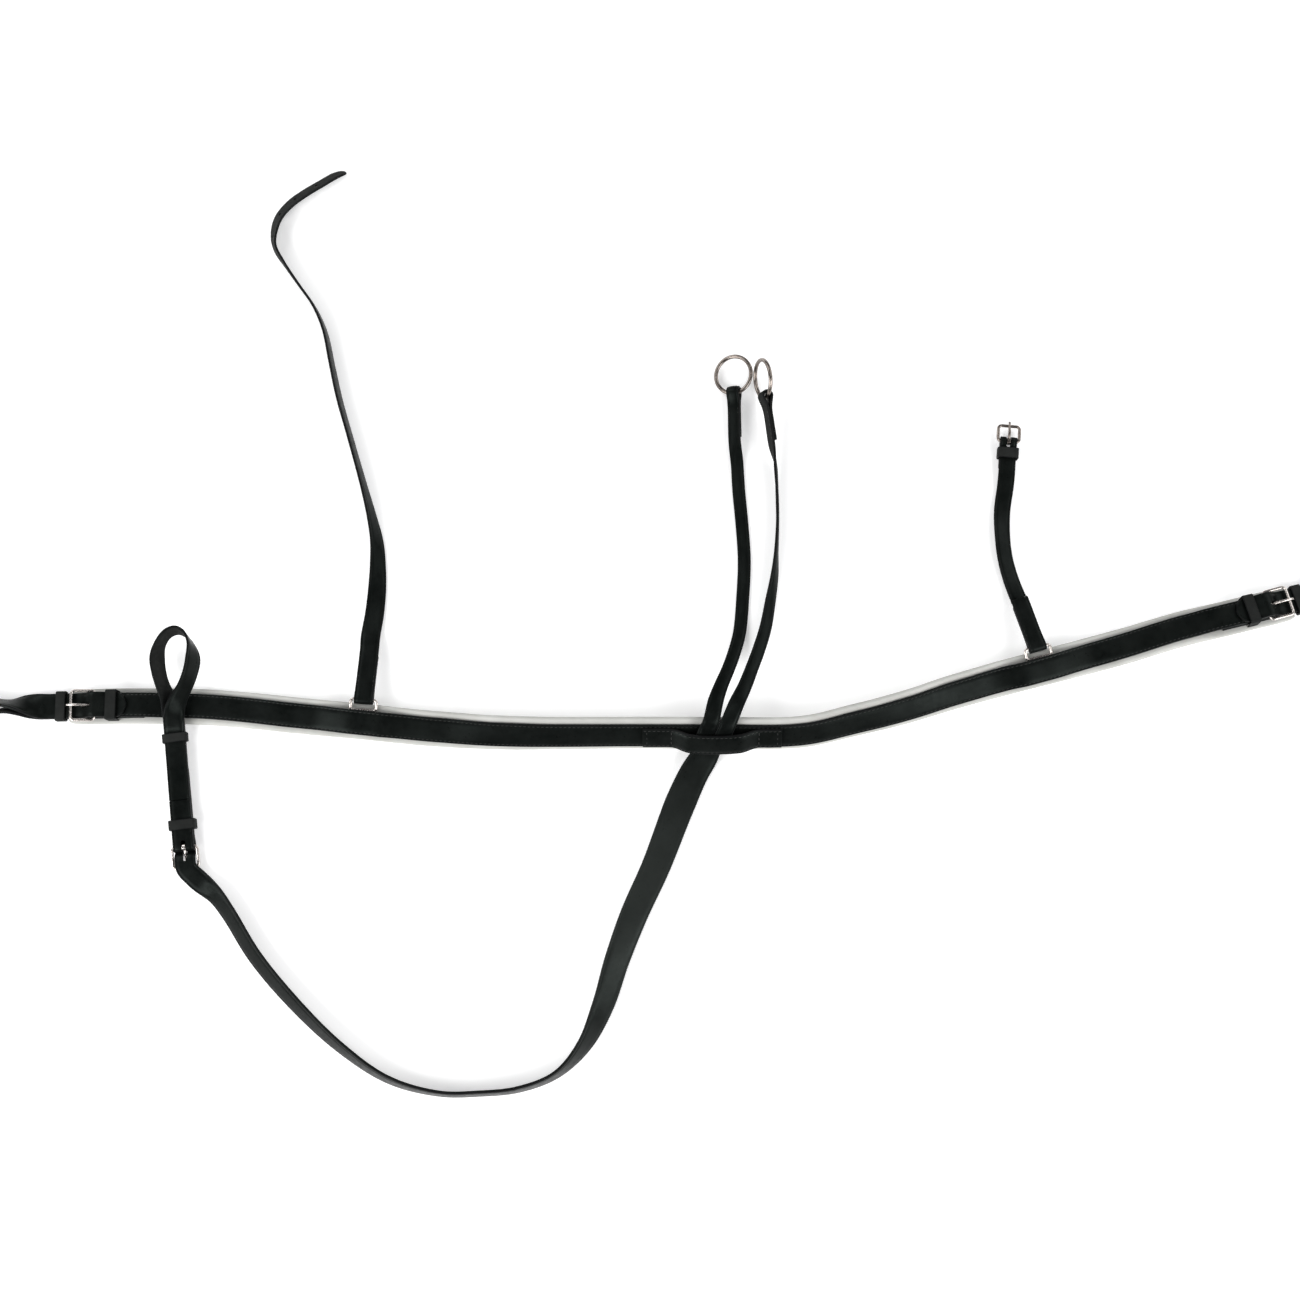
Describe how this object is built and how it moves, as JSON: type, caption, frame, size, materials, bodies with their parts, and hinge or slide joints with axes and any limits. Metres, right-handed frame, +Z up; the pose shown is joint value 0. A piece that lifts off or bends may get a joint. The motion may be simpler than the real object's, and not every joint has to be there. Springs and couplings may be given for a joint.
{
  "type": "running martingale breastplate",
  "caption": "Black leather horse breast collar with pale padding, a forked running martingale on rings, neck strap halves with a buckle, and buckled girth loops, laid flat.",
  "frame": {"origin": "centre of the footprint of the laid-out martingale, on the ground", "axes": "+X along the breast collar towards its right end, +Y from the collar towards the rein rings, +Z up off the ground"},
  "size_m": [1.4749, 0.9451, 0.0404],
  "materials": {
    "padding": "soft pale grey padded lining, matt",
    "bridle_leather": "black waxed bridle leather, low sheen, stitched edges",
    "keeper_leather": "black leather keeper loops, low sheen",
    "nickel": "polished nickel plate on steel wire"
  },
  "bodies": {
    "collar": {"breast_padding": "padding", "breast_strap": "bridle_leather", "centre_bridge": "bridle_leather", "girth_strap_left": "bridle_leather", "girth_strap_right": "bridle_leather", "girth_buckle_frame_left": "nickel", "girth_buckle_frame_right": "nickel", "collar_keeper_left": "keeper_leather", "collar_keeper_right": "keeper_leather"},
    "martingale": {"martingale_body_strap": "bridle_leather", "fork_leg_left": "bridle_leather", "fork_leg_right": "bridle_leather", "girth_loop_strap": "bridle_leather", "loop_buckle_frame": "nickel", "loop_fixed_keeper": "keeper_leather"},
    "rein_ring_left": {"rein_ring_left": "nickel"},
    "rein_ring_right": {"rein_ring_right": "nickel"},
    "wither_ring_left": {"wither_ring_left": "nickel"},
    "wither_ring_right": {"wither_ring_right": "nickel"},
    "neck_strap_long": {"neck_strap_long": "bridle_leather"},
    "neck_strap_short": {"neck_strap_short": "bridle_leather", "neck_keeper": "keeper_leather"},
    "neck_buckle_frame": {"neck_buckle_frame": "nickel"},
    "neck_buckle_tongue": {"neck_buckle_tongue": "nickel"},
    "girth_tongue_left": {"girth_buckle_tongue_left": "nickel"},
    "girth_tongue_right": {"girth_buckle_tongue_right": "nickel"},
    "loop_tongue": {"loop_buckle_tongue": "nickel"},
    "running_keeper_left": {"girth_running_keeper_left": "keeper_leather"},
    "running_keeper_right": {"girth_running_keeper_right": "keeper_leather"},
    "loop_running_keeper": {"loop_running_keeper": "keeper_leather"}
  },
  "joints": [
    {"name": "martingale_slide", "type": "slide", "parent": "collar", "child": "martingale", "axis": [0.3388, 0.7214, 0.604], "range_m": [0, 0.006]},
    {"name": "rein_ring_left_swing", "type": "hinge", "parent": "martingale", "child": "rein_ring_left", "pos_m": [0.05511, 0.2275, 0.00955], "axis": [0.9223, -0.0125, 0.3863], "range_deg": [0, 80]},
    {"name": "rein_ring_right_swing", "type": "hinge", "parent": "martingale", "child": "rein_ring_right", "pos_m": [0.08689, 0.22051, 0.01844], "axis": [-0.3279, 0.0546, -0.9431], "range_deg": [0, 60]},
    {"name": "wither_ring_left_lift", "type": "hinge", "parent": "collar", "child": "wither_ring_left", "pos_m": [-0.31327, -0.09998, 0.01626], "axis": [0.9954, -0.0955, 0], "range_deg": [0, 35]},
    {"name": "wither_ring_right_lift", "type": "hinge", "parent": "collar", "child": "wither_ring_right", "pos_m": [0.35481, -0.04738, 0.01754], "axis": [0.969, 0.247, 0], "range_deg": [0, 35]},
    {"name": "neck_strap_long_lift", "type": "hinge", "parent": "wither_ring_left", "child": "neck_strap_long", "pos_m": [-0.3123, -0.08983, 0.0188], "axis": [0.9954, -0.0955, 0], "range_deg": [0, 60]},
    {"name": "neck_strap_short_lift", "type": "hinge", "parent": "wither_ring_right", "child": "neck_strap_short", "pos_m": [0.35233, -0.03764, 0.02056], "axis": [0.969, 0.247, 0], "range_deg": [0, 60]},
    {"name": "neck_buckle_frame_turn", "type": "hinge", "parent": "neck_strap_short", "child": "neck_buckle_frame", "pos_m": [0.334, 0.1771, 0.007], "axis": [0.9962, -0.0872, 0], "range_deg": [0, 60]},
    {"name": "neck_buckle_tongue_turn", "type": "hinge", "parent": "neck_buckle_frame", "child": "neck_buckle_tongue", "pos_m": [0.334, 0.1771, 0.007], "axis": [0.9962, -0.0872, 0], "range_deg": [0, 45]},
    {"name": "girth_tongue_left_turn", "type": "hinge", "parent": "collar", "child": "girth_tongue_left", "pos_m": [-0.5795, -0.0944, 0.012], "axis": [-0.0157, 0.9999, 0], "range_deg": [0, 18]},
    {"name": "girth_tongue_right_turn", "type": "hinge", "parent": "collar", "child": "girth_tongue_right", "pos_m": [0.58416, 0.00502, 0.0141], "axis": [0.2338, -0.9646, 0.1219], "range_deg": [0, 18]},
    {"name": "loop_tongue_turn", "type": "hinge", "parent": "martingale", "child": "loop_tongue", "pos_m": [-0.4855, -0.2339, 0.0079], "axis": [0.9925, 0.1219, 0], "range_deg": [0, 18]},
    {"name": "running_keeper_left_slide", "type": "slide", "parent": "collar", "child": "running_keeper_left", "axis": [-0.9999, -0.0157, 0], "range_m": [0, 0.008]},
    {"name": "running_keeper_right_slide", "type": "slide", "parent": "collar", "child": "running_keeper_right", "axis": [0.9719, 0.2356, 0], "range_m": [0, 0.008]},
    {"name": "loop_running_keeper_slide", "type": "slide", "parent": "martingale", "child": "loop_running_keeper", "axis": [0.1219, -0.9925, 0], "range_m": [0, 0.01]}
  ]
}
